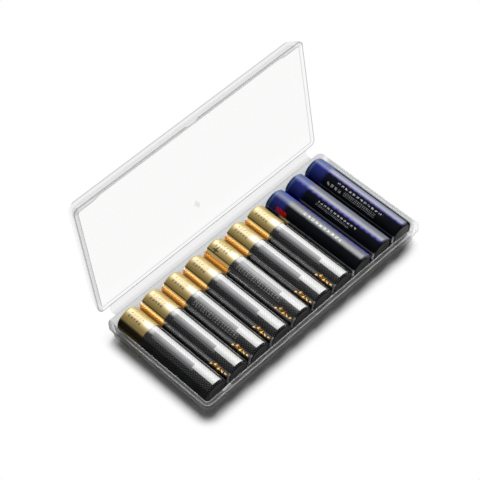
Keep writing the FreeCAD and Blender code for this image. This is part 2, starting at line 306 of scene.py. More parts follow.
# %% Camera
PHOTO_WIDTH = 480
SENSOR_WIDTH = 36
FOCAL_PIXELS = 1822.5
NEAREST_SEEN, FARTHEST_SEEN = 0.01, 20
VIEW_AZIMUTH = math.radians(-45.56)
VIEW_ELEVATION = math.radians(52.24)
VIEW_DISTANCE = 647.25 * MM
VIEW_SHIFT_RIGHT = 9.45 * MM
VIEW_SHIFT_UP = -16.37 * MM

back = Vector((
    math.sin(VIEW_AZIMUTH) * math.cos(VIEW_ELEVATION),
    -math.cos(VIEW_AZIMUTH) * math.cos(VIEW_ELEVATION),
    math.sin(VIEW_ELEVATION)))
right = Vector((math.cos(VIEW_AZIMUTH), math.sin(VIEW_AZIMUTH), 0))
up = back.cross(right)

camera_data = bpy.data.cameras.new("photo_camera")
camera_data.sensor_width = SENSOR_WIDTH
camera_data.lens = FOCAL_PIXELS * SENSOR_WIDTH / PHOTO_WIDTH
camera_data.clip_start = NEAREST_SEEN
camera_data.clip_end = FARTHEST_SEEN
camera = bpy.data.objects.new("photo_camera", camera_data)
bpy.context.scene.collection.objects.link(camera)
turn = Matrix((right, up, back)).transposed().to_4x4()
place = back * VIEW_DISTANCE - right * VIEW_SHIFT_RIGHT - up * VIEW_SHIFT_UP
camera.matrix_world = Matrix.Translation(place) @ turn
bpy.context.scene.camera = camera
print("lens", round(camera_data.lens, 1), "mm")

# %% [markdown]
# ## The table
# The box stands on seamless white, with a dark soft shadow on the two sides towards us. The
# shadow in the photo stops a few millimetres from the case. There the table is seen as pure
# white, so it glows for rays that look at it and stays plain paint for the lamp's light.

# %% Table
TABLE_HALF = 3
# Millimetres: the gap keeps the table and the case's flat underside from sharing a plane,
# and the glow is measured from the case's outline.
TABLE_GAP = 0.02
GLOW_CORNER = 3.4
GLOW_BEGINS, GLOW_FULL = -0.8, 4.8

floor_shape = bmesh.new()
bmesh.ops.create_grid(floor_shape, x_segments=2, y_segments=2, size=TABLE_HALF)
floor = add_object("floor", floor_shape, "floor")
floor.location.z = solid_box[0][2] - TABLE_GAP * MM
floor_paint, floor_shader, start = new_material("white_table")
feed(floor_shader, Base_Color=grey(1.0), Roughness=0.9)
floor_shader.inputs["Specular IOR Level"].default_value = 0.0
floor.data.materials.append(floor_paint)

x, y, z = place_in_mm(start)
away = outline_distance(x, y, GLOW_CORNER)
ray = start.tree.nodes.new("ShaderNodeLightPath")
looked_at = sum(Signal(start.tree, ray.outputs[f"Is {kind} Ray"])
                for kind in ("Camera", "Glossy", "Transmission"))
white = start.make("ShaderNodeEmission", {}, {"Color": grey(1), "Strength": 1.0})
glowing = looked_at * away.rise(GLOW_BEGINS, GLOW_FULL)
show_on_surface(mix_shaders(glowing, output_of(start, floor_shader), white))
print("floor at", round(floor.location.z / MM, 2), "mm")

# %% [markdown]
# ## The dim room
# Gloss is only as good as what it mirrors. A white room would wash out the black print and
# the clear plastic, so the room is dark. A white line all round at the horizon stands for
# the far end of the table, and gives the sleeves and rims something bright to mirror.

# %% World
# Height of the direction that is looked in: 0 is level and 1 is straight up.
HORIZON_WHITE, HORIZON_DARK = 0.13, 0.19
ROOM_GREY = 0.07

world = bpy.data.worlds.new("dim_room")
world.use_nodes = True
bpy.context.scene.world = world
start = Signal(world.node_tree)
background = world.node_tree.nodes["Background"]
towards = start.make("ShaderNodeTexCoord", {}, {}, output="Generated")
height = start.make("ShaderNodeSeparateXYZ", {}, {0: towards}, output="Z")
room = blend_colour(height.rise(HORIZON_WHITE, HORIZON_DARK), grey(1), grey(ROOM_GREY))
world.node_tree.links.new(room.socket, background.inputs["Color"])
print("dark from", round(math.degrees(math.asin(HORIZON_DARK)), 1), "degrees up")

# %% [markdown]
# ## One soft box
# The shadow tells where the light is: one very large soft box, high behind the right-hand
# end. An area lamp gives that soft shadow and a broad glint on metal. Its power is worked
# out from its size and the brightness of its face, so a lamp of another size would look as
# bright in a glint.

# %% Lamp
LAMP_DIRECTION = (0.55, 0.43, 0.72)
LAMP_WIDTH_ALONG = (0.76, 0, -0.65)
LAMP_DISTANCE = 2.5
LAMP_WIDTH, LAMP_DEPTH = 1.8, 1.1
LAMP_BRIGHTNESS = 14.5


def hang_soft_box(name, direction, along, distance, width, depth, brightness):
    """A rectangular lamp that faces the box; along is where its width points."""
    lamp = bpy.data.lights.new(name, "AREA")
    lamp.shape = "RECTANGLE"
    lamp.size = width
    lamp.size_y = depth
    lamp.energy = brightness * math.pi * width * depth
    holder = bpy.data.objects.new(name, lamp)
    bpy.context.scene.collection.objects.link(holder)
    back = Vector(direction).normalized()
    side = Vector(along)
    side = (side - back * side.dot(back)).normalized()
    facing = Matrix((side, back.cross(side), back)).transposed().to_4x4()
    holder.matrix_world = Matrix.Translation(back * distance) @ facing
    print(name, "gives", round(lamp.energy, 1), "watts")


hang_soft_box("key_light", LAMP_DIRECTION, LAMP_WIDTH_ALONG, LAMP_DISTANCE,
              LAMP_WIDTH, LAMP_DEPTH, LAMP_BRIGHTNESS)
bpy.context.scene.view_settings.view_transform = "Standard"

# %% [markdown]
# ## Clear plastic
# Tray, lid and strap are one moulding in clear plastic. A full glass shader bends the view
# so much at such thin walls that only black and white specks are left of them. What the
# eye really reads is a film that is nearly invisible face on and gets milky where it is
# seen along its surface, at every wall and rounded edge. So a see-through shader is mixed
# with a glossy pale one, and the mix rises with the angle.
#
# An edge of clear plastic can show light or dark. The light ones, where a rim catches the
# lamp, are painted highlights: they get more of the glossy shader and a paler grey. The dark
# ones only dim what lies behind them: there the see-through shader turns into a second,
# darker see-through one, and on some walls that darkening is painted shade. That keeps them
# free of the speckle that a share of a glossy shader brings.

# %% Clear plastic
CLEAR_VIEW = rgb(0.978, 0.979, 0.976)
DIMMED_VIEW = rgb(0.40, 0.41, 0.42)
HIGHLIGHT_SHARE, HIGHLIGHT_GREY = 0.35, 0.8
ANGLE_POWER = 4.0
PLASTIC_IOR = 1.49


def clear_plastic(name, face_on, edge_on, shade, tone, painted_highlight=None, tint_and_shade=None):
    """Thin moulded plastic that shows face_on, and up to edge_on more along its surface.

    shade says how much of that dims the lamp's light, and tone is the plastic's own grey.
    The last two masks, 0 to 1, are the painted highlights where a rim catches the light, and
    the places that only dim the view, some of them with painted shade.
    """
    material, shader, start = new_material(name)
    cloud = surface_noise(start, scale=60.0, detail=3.0)
    place = place_in_mm(start)
    turned = start.make("ShaderNodeLayerWeight", {}, {"Blend": 0.5}, output="Facing")
    shown = face_on + edge_on * start.maths("POWER", turned, ANGLE_POWER)
    body = blend_colour(cloud, grey(tone), grey(0.85 * tone))
    if painted_highlight:
        # Painted highlight: along these lines the plastic shows more, in a paler grey.
        line = painted_highlight(*place)
        shown = shown + line * HIGHLIGHT_SHARE
        body = blend_colour(line, body, grey(HIGHLIGHT_GREY))
    shadow = start.make("ShaderNodeLightPath", {}, {}, output="Is Shadow Ray")
    shown = shown * (1 - shadow * (1 - shade))
    feed(shader, Base_Color=body, Roughness=0.12 + 0.1 * cloud, IOR=PLASTIC_IOR,
         Normal=bump(cloud, depth_mm=0.3, strength=0.15))
    through = start.make("ShaderNodeBsdfTransparent", {}, {"Color": CLEAR_VIEW})
    # A darker see-through shader where the mask asks for it: the plastic's own tint, and painted
    # shade on the tray's walls and the lid's left end.
    if tint_and_shade:
        dimmed = start.make("ShaderNodeBsdfTransparent", {}, {"Color": DIMMED_VIEW})
        through = mix_shaders(tint_and_shade(*place), through, dimmed)
    show_on_surface(mix_shaders(shown, through, output_of(start, shader)))
    return material


print("plastic recipe ready")

# %% [markdown]
# ## The tray
# The tray is a shallow tub with a flat rim and a tongue along the front that the lid snaps
# over. Both edges of the rim show as thin bright lines, and so does the ramp at the left end
# of the tongue: these are painted highlights. The back wall, the far half of the left wall and
# the wall beside the last cell are seen through more plastic, and they also hold painted
# shade: their darker see-through tint stands for the shade and the black cells behind them.

# %% Clear plastic of the tray
CASE_CORNER = 2.2
RIM_WIDTH = 1.6
TRAY_HEIGHT = 7.7
RIM_LINES_FADE = (12.0, 19.0)
TONGUE_ALONG, TONGUE_ACROSS, TONGUE_UP = (-45.7, -42.1, 0.15), (-24.0, -22.6, 0.1), (6.9, 7.1)
BACK_WALL = (22.2, 22.8)
LEFT_WALL, LEFT_WALL_BACK = (-52.6, -52.2), (2.0, 16.0)
RIGHT_WALL, RIGHT_WALL_TOP, RIGHT_WALL_ALONG = (51.9, 52.2), (7.3, 7.5), (-21.0, 21.0, 1.5)


def tray_painted_highlights(x, y, z):
    """Painted highlights: both edges of the tray's flat rim, and the ramp at the left end of its
    snap tongue.
    """
    away = outline_distance(x, y, CASE_CORNER)
    outer_line = away.between(-0.3, 0.2, 0.12)
    inner_line = away.between(-RIM_WIDTH - 0.25, -RIM_WIDTH + 0.25, 0.12)
    flat = away.between(-RIM_WIDTH, 0.0, 0.1)
    rim = (outer_line + inner_line) * 0.65 + flat * 0.12
    at_top = z.rise(TRAY_HEIGHT - 0.3, TRAY_HEIGHT - 0.15)
    ramp = x.between(*TONGUE_ALONG) * y.between(*TONGUE_ACROSS) * z.rise(*TONGUE_UP)
    return rim * at_top * (1 - y.rise(*RIM_LINES_FADE)) + ramp


def tray_painted_shade(x, y, z):
    """Painted shade: the back wall with its rim, the left wall's back half, and the right wall by
    its cell.
    """
    left = (1 - x.rise(*LEFT_WALL)) * y.rise(*LEFT_WALL_BACK)
    right = x.rise(*RIGHT_WALL) * (1 - z.rise(*RIGHT_WALL_TOP)) * y.between(*RIGHT_WALL_ALONG)
    return y.rise(*BACK_WALL) * 0.25 + left * 0.42 + right * 0.7


dress("tray", clear_plastic("clear_tray", face_on=0.05, edge_on=0.6, shade=1.0, tone=0.25,
                            painted_highlight=tray_painted_highlights, tint_and_shade=tray_painted_shade))
print("clear plastic on the tray")

# %% [markdown]
# ## The lid
# The lid is the clearest piece: only its edges show, as fine dark lines, and its left end
# is darker with painted shade, as it faces away from the lamp. It stands open at an angle,
# so a point on it is first turned back about the fold, as if the lid were shut.
# Then the same outline distance that draws the tray's rim draws the lid's. The small ring
# with a dot on its panel is the mark that the mould's gate leaves.

# %% Clear plastic of the lid
LID_OPENING = math.radians(99.7)
FOLD = Vector(frame["record"]["behaviour"]["joints"][0]["pos_m"])
LID_RIM = (0.25, 0.45)
LID_SKIRT = (3.9, 4.1)
LID_PANEL_EDGE = (3.9, 4.2)
LID_LEFT_FADES = (0.2, 3.0)
LID_FREE_SIDE, LID_FREE_EDGE = (-22.8, -22.2), (-23.6, -23.2)
GATE_MARK = (-0.7, 16.4)
GATE_NARROWER = 1.5


def lid_depth(y, z):
    """Depth and reach of a point in the lid, in mm from the fold, as if it were shut."""
    over_y, over_z = y - FOLD.y / MM, z - FOLD.z / MM
    reach = over_y * math.cos(LID_OPENING) - over_z * math.sin(LID_OPENING)
    depth = over_y * math.sin(LID_OPENING) + over_z * math.cos(LID_OPENING)
    return depth, reach


def gate_mark(x, shut_y):
    """A slim ring with a dot in its middle."""
    out_x, out_y = (x - GATE_MARK[0]) * GATE_NARROWER, shut_y - GATE_MARK[1]
    out = x.maths("SQRT", out_x * out_x + out_y * out_y)
    return out.between(0.7, 1.1, 0.15) * 0.40 + (1 - out.rise(0.2, 0.4)) * 0.55


def lid_lines_and_shade(x, y, z):
    """The skirt's rim and free side, painted shade on its left end, the panel's round edge, and the
    gate mark.
    """
    depth, reach = lid_depth(y, z)
    shut_y = reach + FOLD.y / MM
    away = outline_distance(x, shut_y, CASE_CORNER)
    free_side = 1 - shut_y.rise(*LID_FREE_SIDE)
    outer_line = away.between(-0.35, 0.2, 0.08) * 0.55
    inner_line = away.between(-2.0, -1.65, 0.08) * 0.40
    rim = (outer_line + inner_line + free_side * 0.12) * (1 - depth.rise(*LID_RIM))
    # Painted shade: the left end of the skirt faces away from the lamp.
    left = (1 - x.rise(*LEFT_WALL)) * (1 - depth.rise(*LID_LEFT_FADES))
    skirt = (free_side * 0.13 + left * 0.28) * (1 - depth.rise(*LID_SKIRT))
    rounded = (1 - shut_y.rise(*LID_FREE_EDGE)) * depth.rise(*LID_PANEL_EDGE) * 0.55
    return rim + skirt + rounded + gate_mark(x, shut_y)


dress("lid", clear_plastic("clear_lid", face_on=0.003, edge_on=0.12, shade=0.2, tone=0.35,
                           tint_and_shade=lid_lines_and_shade))
print("clear plastic on the lid, fold at z", round(FOLD.z / MM, 2), "mm")

# %% [markdown]
# ## The strap
# The hinge is a thin strip moulded between the two rims. A stiff solid can't follow the
# lid, so a strip with many rows across the fold replaces it, built in the shape it takes
# with the lid standing open.
# Its section runs level from the tray's rim, round the fold and up to the lid's rim.

# %% Section of the strap
STRAP_ROWS = 12
STRAP_THICK = 0.45 * MM
# The strap's inner face stands this far off the fold, so that its rows never meet there.
STRAP_SHELL = 0.05 * MM
strap_low, strap_high = (Vector(corner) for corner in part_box("living_hinge"))


def strap_section():
    """Inner and outer points: STRAP_ROWS rows along the tray, round the fold and up the lid."""
    reach = FOLD.y - strap_low.y
    inner, outer = [], []
    for row in range(STRAP_ROWS):
        y = FOLD.y - reach * (1 - row / STRAP_ROWS)
        inner.append((y, FOLD.z - STRAP_SHELL))
        outer.append((y, FOLD.z - STRAP_SHELL - STRAP_THICK))
    bend = math.pi - LID_OPENING
    fold = Vector((FOLD.y, FOLD.z))
    for row in range(STRAP_ROWS + 1):
        angle = -math.pi / 2 + bend * row / STRAP_ROWS
        ray = Vector((math.cos(angle), math.sin(angle)))
        inner.append(tuple(fold + ray * STRAP_SHELL))
        outer.append(tuple(fold + ray * (STRAP_SHELL + STRAP_THICK)))
    normal = Vector((math.cos(bend - math.pi / 2), math.sin(bend - math.pi / 2)))
    along = Vector((-normal.y, normal.x))
    for row in range(1, STRAP_ROWS + 1):
        base = fold + along * (reach * row / STRAP_ROWS)
        inner.append(tuple(base + normal * STRAP_SHELL))
        outer.append(tuple(base + normal * (STRAP_SHELL + STRAP_THICK)))
    return inner, outer


print("strap", round((strap_high.x - strap_low.x) / MM, 1), "mm wide")

# %% Hinge strap
def build_strap():
    inner, outer = strap_section()
    shape = bmesh.new()
    ring = inner + outer[::-1]
    ends = []
    for x in (strap_low.x, strap_high.x):
        ends.append([shape.verts.new((x, y, z)) for y, z in ring])
    count = len(ring)
    for here in range(count):
        after = (here + 1) % count
        shape.faces.new((ends[0][here], ends[0][after], ends[1][after], ends[1][here]))
    for end in ends:
        for here in range(len(inner) - 1):
            quad = (end[here], end[here + 1], end[count - 2 - here], end[count - 1 - here])
            shape.faces.new(quad)
    bmesh.ops.recalc_face_normals(shape, faces=shape.faces)
    return add_object("hinge_strip", shape, "hinge_strip")


def strip_tint(x, y, z):
    """The strip gets darker towards the tray."""
    return 0.02 + (1 - y.rise(24.6, 28.0)) * 0.22


hinge_strip = build_strap()
hinge_strip.data.materials.append(clear_plastic(
    "clear_strip", face_on=0.02, edge_on=0.25, shade=0.2, tone=0.25, tint_and_shade=strip_tint))
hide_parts("living_hinge")
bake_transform(hinge_strip)
print("strap faces", len(hinge_strip.data.polygons))

# %% [markdown]
# ## Steel ends
# Under the sleeve the cell is a nickel-plated can. It shows at both ends as a smooth,
# slightly brushed ring round the nub and as the flat minus cap. A noise far finer than
# the nub shades the plating and moves its roughness, which is all that such steel shows.
# The minus caps face a dark corner in the photo and look black, so their steel is painted
# dark: painted shade.

# %% Steel, seal and filling
def plated_steel(name, tint, roughness):
    material, shader, start = new_material(name)
    grain = surface_noise(start, scale=900.0, detail=4.0)
    feed(shader, Base_Color=blend_colour(grain, darker(tint, 0.92), tint), Metallic=1.0,
         Roughness=roughness + 0.12 * grain, Normal=bump(grain, depth_mm=0.05, strength=0.08))
    return material


def plain_plastic(name, colour, roughness):
    material, shader, start = new_material(name)
    grain = surface_noise(start, scale=700.0, detail=2.0)
    feed(shader, Base_Color=blend_colour(grain, colour, darker(colour, 0.7)),
         Roughness=roughness + 0.1 * grain, Normal=bump(grain, depth_mm=0.05, strength=0.3))
    return material


END_FINISHES = {
    "can": plated_steel("plated_can", rgb(0.66, 0.65, 0.63), roughness=0.22),
    # Painted shade: the minus cap's steel is near black for the dark corner it faces.
    "base_cap": plated_steel("shade_dark_cap", rgb(0.035, 0.035, 0.037), roughness=0.35),
    "seal": plain_plastic("seal_plastic", rgb(0.03, 0.03, 0.035), roughness=0.5),
    "core": plain_plastic("dark_filling", grey(0.04), roughness=0.8),
}
for cell in range(1, CELL_COUNT + 1):
    for piece, finish in END_FINISHES.items():
        dress(f"cell_{cell}_{piece}", finish)
print("dressed", CELL_COUNT * len(END_FINISHES), "pieces of the cells")

# %% [markdown]
# ## Shrunk sleeves
# The print is on a thin film that shrinks on to the can: it hugs the shoulder and turns in
# over both ends, and its two long edges overlap in a seam underneath. The solid sleeve has
# the right size but is cut into flat facets that break up a long highlight. A profile spun
# round the axis in many steps gives a smooth one, and the overlap is a slightly larger
# radius for a few of those steps. All lengths here are in millimetres.

# %% Profile of a sleeve
SLEEVE_RADIUS = 5.1
FILM = 0.13
GOLD_SHOULDER, BLUE_SHOULDER = 0.8, 1.0
FOOT_ROUND = 0.35
LIP_AT_TOP = 3.6
LIP_AT_FOOT = 4.3


def arc_points(radius, height, rounding, first, last, steps=6):
    """Points of a quarter round about (radius, height)."""
    angles = (math.radians(first + (last - first) * step / steps) for step in range(steps + 1))
    return [(radius + rounding * math.cos(angle), height + rounding * math.sin(angle))
            for angle in angles]


def sleeve_profile(shoulder):
    """Radius and height above the foot, from the lip at the top down to the lip at the foot."""
    top = SLEEVE_LENGTH
    profile = [(LIP_AT_TOP, top - FILM), (LIP_AT_TOP, top)]
    profile += arc_points(SLEEVE_RADIUS - shoulder, top - shoulder, shoulder, 90, 0)
    profile += [(SLEEVE_RADIUS, top - shoulder - 0.2)]
    profile += [(SLEEVE_RADIUS, top * share) for share in (0.75, 0.5, 0.25)]
    profile += [(SLEEVE_RADIUS, FOOT_ROUND + 0.2)]
    profile += arc_points(SLEEVE_RADIUS - FOOT_ROUND, FOOT_ROUND, FOOT_ROUND, 0, -90)
    profile += [(LIP_AT_FOOT, 0.0), (LIP_AT_FOOT, FILM)]
    return profile


print("profile of", len(sleeve_profile(GOLD_SHOULDER)), "points")

# %% Sleeve mesh
SLEEVE_STEPS = 120
SEAM_FROM, SEAM_TO = math.radians(150), math.radians(176)
SEAM_LAP = 0.03
LAPPED_BEYOND = SLEEVE_RADIUS - 0.1


def build_sleeve(cell, shoulder):
    """Spin the profile round the cell's axis; only the seam keeps the full radius."""
    middle_x, middle_z, plus_end, _ = cell_axis(cell)
    shape = bmesh.new()
    rings = []
    for out, height in sleeve_profile(shoulder):
        ring = []
        for step in range(SLEEVE_STEPS):
            angle = 2 * math.pi * step / SLEEVE_STEPS
            lap = 0.0 if SEAM_FROM < angle < SEAM_TO else SEAM_LAP
            here = out - lap * (out > LAPPED_BEYOND)
            ring.append(shape.verts.new((
                (middle_x + here * math.sin(angle)) * MM,
                (plus_end - SLEEVE_LENGTH + height) * MM,
                (middle_z + here * math.cos(angle)) * MM)))
        rings.append(ring)
    for low, high in zip(rings, rings[1:]):
        for step in range(SLEEVE_STEPS):
            after = (step + 1) % SLEEVE_STEPS
            shape.faces.new((low[step], low[after], high[after], high[step]))
    bmesh.ops.recalc_face_normals(shape, faces=shape.faces)
    for face in shape.faces:
        face.smooth = True
    sleeve = add_object(f"printed_sleeve_{cell}", shape, f"print_{cell}")
    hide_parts(sleeve_name(cell))
    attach(sleeve, f"cell_{cell}")
    return sleeve


sleeves = {}
for cell in range(1, CELL_COUNT + 1):
    sleeves[cell] = build_sleeve(cell, GOLD_SHOULDER if cell in GOLD_CELLS else BLUE_SHOULDER)
    "gold_black_sleeve" if cell in GOLD_CELLS else "blue_black_sleeve"
print("sleeves", len(sleeves), "with", len(sleeves[1].data.polygons), "faces each")

# %% [markdown]
# ## Print on the sleeves
# The print is worked out in the sleeve's own two directions: how many millimetres from
# the plus end, and how many millimetres round from the top. Each cell has rolled a bit
# differently in its seat, so the print is turned by its own angle.
#
# Rows of plain bars of uneven length give it the fine, busy look of print. Film ripples a
# little where it has shrunk, so a slow noise feeds its bump and its gloss. Where a side
# faces away from the lamp, a smooth black still mirrors the white table, so there a matt
# copy of the print's shader takes over.

# %% Marks that any print can use
def sleeve_directions(start, cell, roll):
    """Millimetres from the plus end, and round the sleeve from the print's middle."""
    middle_x, middle_z, plus_end, radius = cell_axis(cell)
    x, y, z = place_in_mm(start)
    angle = start.maths("ARCTAN2", x - middle_x, z - middle_z)
    turned = start.maths("WRAP", angle - math.radians(roll), math.pi, -math.pi)
    return plus_end - y, turned * radius


def screen_dots(along, around, pitch, cover):
    """Round dots on a slanted grid; cover, 0 to 1, sets how much they fill."""
    dots = along.wave(pitch) * around.wave(pitch)
    return (dots * 0.5 + cover).rise(0.44, 0.56)


def box_mask(along, around, first, last, low, high, soft=0.06):
    """1 inside a rectangle on the sleeve: first to last along it, low to high round it."""
    return along.between(first, last, soft) * around.between(low, high, soft)


def mark_rows(along, around, first, last, low, high, pitch, row):
    """Rows of short plain bars of uneven length.

    A bar and its gap take pitch along the sleeve, and a row takes row round it. The noise
    leaves out a bar here and there.
    """
    spread = along.make("ShaderNodeCombineXYZ", {}, {0: along, 1: around * 2.0})
    gaps = along.make("ShaderNodeTexNoise", {"noise_dimensions": "2D"}, {
        "Vector": spread, "Scale": 2.3 / pitch, "Detail": 0.0}).rise(0.40, 0.46)
    bars = along.wave(pitch).rise(-0.5, -0.1)
    rows = (around - low - row / 2).wave(row).rise(-0.3, 0.1)
    return bars * rows * gaps * box_mask(along, around, first, last, low, high)


def finish_sleeve(start, shader, ink, metallic, roughness, matt):
    """Feed the print's shader, and let a matt copy of it take over where matt is 1.

    The film is never quite even: a slow noise ripples it and changes its gloss.
    """
    film = surface_noise(start, scale=420.0, detail=4.0)
    ripple = bump(film, depth_mm=0.12, strength=0.25)
    flat = start.tree.nodes.new("ShaderNodeBsdfPrincipled")
    flat.inputs["Specular IOR Level"].default_value = 0.0
    flat.inputs["Roughness"].default_value = 0.9
    feed(shader, Base_Color=ink, Metallic=metallic, Roughness=roughness + 0.10 * (film - 0.5),
         Normal=ripple)
    feed(flat, Base_Color=ink, Normal=ripple)
    show_on_surface(mix_shaders(matt, output_of(start, shader), output_of(start, flat)))


FOOT_TURNS_IN = (42.9, 43.1)
MIRROR_SIDE_FROM = -9.0
print("print marks ready")

# %% [markdown]
# ## The gold and black print
# Seven cells have a gold foil top and a black body. The black is really a fine dot screen
# with a greyer panel on it, and a silver band that widens to the foot. Each is a mask with
# two colours, laid over the one before, as a printer lays down inks. Their places are kept
# in one list of bands and boxes in millimetres, so a measure is changed in one place.

# %% Bands and boxes of the gold and black print
GOLD_ENDS = (11.5, 11.8)
# Round the sleeve: low, high and the softness of the edge. They are the side that mirrors
# the next cell, the bright line along it, a dark band beside that line, the glossy black
# edge right of the silver, and the thin pale line on that edge.
BANDS = {
    "mirror": (MIRROR_SIDE_FROM, -4.15, 0.1),
    "line": (-5.2, -4.2, 0.12),
    "groove": (-4.15, -3.7, 0.08),
    "edge": (2.75, 3.65, 0.08),
    "pin": (2.8, 2.95, 0.05),
}
# Along the sleeve and round it: first, last, low, high, and the softness if it has its own.
GREY_MARGIN = (14.2, 34.0, -2.1, -1.2)
GREY_PANEL = (12.4, 33.2, -1.2, 0.5)
SILVER_BAND = (12.0, 43.0, 0.5, 2.65)
SILVER_FOOT = (33.0, 43.0, -1.2, 2.65)
PALE_START = (11.0, 13.6, -1.1, 2.5, 0.8)
PALE_FOIL = (8.4, 13.0, -1.0, 2.6, 1.5)
# Rows of bars: first, last, low, high, pitch of the bars, height of a row.
RIGHT_ROWS = (13.0, 41.0, 3.8, 5.8, 0.9, 0.75)
LEFT_ROWS = (13.0, 42.0, -7.8, -5.3, 0.9, 0.75)
TOP_ROWS = (13.5, 35.0, -3.7, -1.4, 1.2, 0.8)
FOIL_ROWS = (2.2, 8.2, -2.1, 1.5, 1.25, 1.8)
# The cells whose print differs: in the case's shade, which gets painted shade on its left
# side, with rows on top, with a plus sign.
SHADED_CELL = 1
TOP_ROW_CELLS = (3, 5)
PLUS_CELL = 5
print("print of", len(BANDS), "bands")

# %% Black body
BLACK_INK = rgb(0.004, 0.004, 0.005)
PALE_PAPER = rgb(0.84, 0.84, 0.82)


def black_body(cell, along, around, bands):
    """Dotted black with a grey panel, a silver band and rows of bars on both sides."""
    dots = screen_dots(along, around, pitch=0.85, cover=0.20)
    ink = blend_colour(dots, BLACK_INK, rgb(0.20, 0.20, 0.21))
    ink = blend_colour(box_mask(along, around, *GREY_MARGIN), ink, rgb(0.12, 0.12, 0.125))
    panel_dots = screen_dots(along, around, pitch=0.70, cover=0.22)
    panel = blend_colour(panel_dots, rgb(0.16, 0.16, 0.17), rgb(0.32, 0.32, 0.33))
    ink = blend_colour(box_mask(along, around, *GREY_PANEL), ink, panel)

    silver = along.maths(
        "MAXIMUM", box_mask(along, around, *SILVER_BAND), box_mask(along, around, *SILVER_FOOT))
    silver_dots = screen_dots(along, around, pitch=0.85, cover=0.25)
    ink = blend_colour(silver, ink, blend_colour(silver_dots, rgb(0.62, 0.62, 0.61), grey(0.30)))
    ink = blend_colour(bands["edge"], ink, grey(0.004))
    ink = blend_colour(box_mask(along, around, *PALE_START) * 0.5, ink, PALE_PAPER)

    ink = blend_colour(bands["pin"] * along.rise(11.6, 12.2), ink, grey(0.55))
    ink = blend_colour(mark_rows(along, around, *RIGHT_ROWS), ink, grey(0.60))
    if cell in TOP_ROW_CELLS:
        ink = blend_colour(mark_rows(along, around, *TOP_ROWS), ink, grey(0.34))
    # Painted shade: on the shaded cell the side towards the tray wall is nearly black.
    if cell == SHADED_CELL:
        return blend_colour(bands["mirror"] * 0.7, ink, rgb(0.014, 0.016, 0.015))
    glint = blend_colour(mark_rows(along, around, *LEFT_ROWS), grey(0.2), grey(0.9))
    ink = blend_colour(bands["mirror"], ink, glint)
    return blend_colour(bands["line"], ink, grey(0.45))


print("body recipe ready")

# %% [markdown]
# ## The gold foil top
# Foil is a lacquer over bright metal, warm where it faces us. Its left side is turned so far
# that it mirrors the next cell, and there the photo shows copper with a coarse dark screen
# and one bright line, which is a painted reflection. The first cell has no neighbour to
# mirror, and its side is painted a dim brown: painted shade.

# %% Gold foil top
FOIL_GOLD = rgb(0.46, 0.335, 0.10)
COPPER, COPPER_DOTS = rgb(1.0, 0.50, 0.12), rgb(0.26, 0.08, 0.02)
SHADE_BROWN, DEEP_SHADE_BROWN = rgb(0.16, 0.115, 0.05), rgb(0.022, 0.017, 0.010)
PLUS_BAR = (2.4, 4.8, -2.95, -2.45)
PLUS_CROSSBAR = (3.35, 3.85, -3.75, -1.65)


def foil_side(cell, along, around, bands):
    """The foil's left side: painted shade in a dim brown on the shaded cell, and copper that
    mirrors the next cell on the others.
    """
    if cell == SHADED_CELL:
        # Painted shade: a dim brown, darker towards the bottom of the side.
        return blend_colour(around.rise(-7.8, -6.4), SHADE_BROWN, DEEP_SHADE_BROWN)
    coarse_dots = screen_dots(along, around, pitch=0.90, cover=0.45)
    copper = blend_colour(coarse_dots, COPPER, COPPER_DOTS)
    # Painted reflection: the pale cream of the bright line.
    return blend_colour(bands["line"], copper, rgb(1.0, 0.97, 0.78))


def gold_top(cell, along, around, bands):
    """Gold foil that pales to the body, with rows of bars and its own left side."""
    pale = box_mask(along, around, *PALE_FOIL) * 0.7
    foil = blend_colour(pale, FOIL_GOLD, rgb(0.66, 0.60, 0.45))
    foil = blend_colour(mark_rows(along, around, *FOIL_ROWS), foil, rgb(0.03, 0.02, 0.01))
    foil = blend_colour(bands["mirror"], foil, foil_side(cell, along, around, bands))
    foil = blend_colour(bands["groove"], foil, rgb(0.10, 0.06, 0.02))
    if cell == PLUS_CELL:
        plus = along.maths(
            "MAXIMUM", box_mask(along, around, *PLUS_BAR), box_mask(along, around, *PLUS_CROSSBAR))
        foil = blend_colour(plus, foil, rgb(0.01, 0.006, 0.002))
    return foil


print("foil recipe ready")

# %% [markdown]
# ## Dashes near the foot
# Near the foot a short slender row of slanted dashes in orange and gold breaks up the black.
# Waves are enough for it: one wave cuts it into dashes, a second bends them, a noise lets the
# row wander a little, and it swells once and tapers. It glows faintly, as foil does that
# catches the lamp, because its dashes are too small for the real reflection to be seen.

# %% Dashes near the foot
DASHES_MIDDLE = -5.4
DASHES_WANDER = 3.0
DASHES_ALONG = (34.3, 42.3, 0.4)
DASHES_SWELL = (37.0, 39.5, 1.4)
THIN_HALF, SWOLLEN_MORE = 0.30, 0.60
DASH_BEND, DASH_PITCH = 2.2, 1.7
ORANGE, ORANGE_GAP, GOLD_HEART = rgb(0.95, 0.38, 0.07), rgb(0.22, 0.05, 0.01), rgb(1.0, 0.84, 0.38)


def foot_dashes(along, around):
    """The mask of the row, its colours, and how much of it glows."""
    drift = along.make("ShaderNodeTexNoise", {"noise_dimensions": "1D"}, {
        "W": along, "Scale": 0.45, "Detail": 1.0})
    off_middle = around - DASHES_MIDDLE + (drift - 0.5) * DASHES_WANDER
    out = along.maths("ABSOLUTE", off_middle)
    half_width = THIN_HALF + SWOLLEN_MORE * along.between(*DASHES_SWELL)
    inside = along.between(*DASHES_ALONG) * (half_width - out).rise(-0.15, 0.15)
    dashes = (along + off_middle.wave(DASH_BEND) * 0.7).wave(DASH_PITCH).rise(-0.7, 0.3)
    heart = (1 - out.rise(0.10, 0.50)) * dashes
    colours = blend_colour(heart, blend_colour(dashes, ORANGE_GAP, ORANGE), GOLD_HEART)
    return inside, colours, inside * dashes * (0.2 + 0.8 * heart)


print("dashes from", DASHES_ALONG[0], "to", DASHES_ALONG[1], "mm")

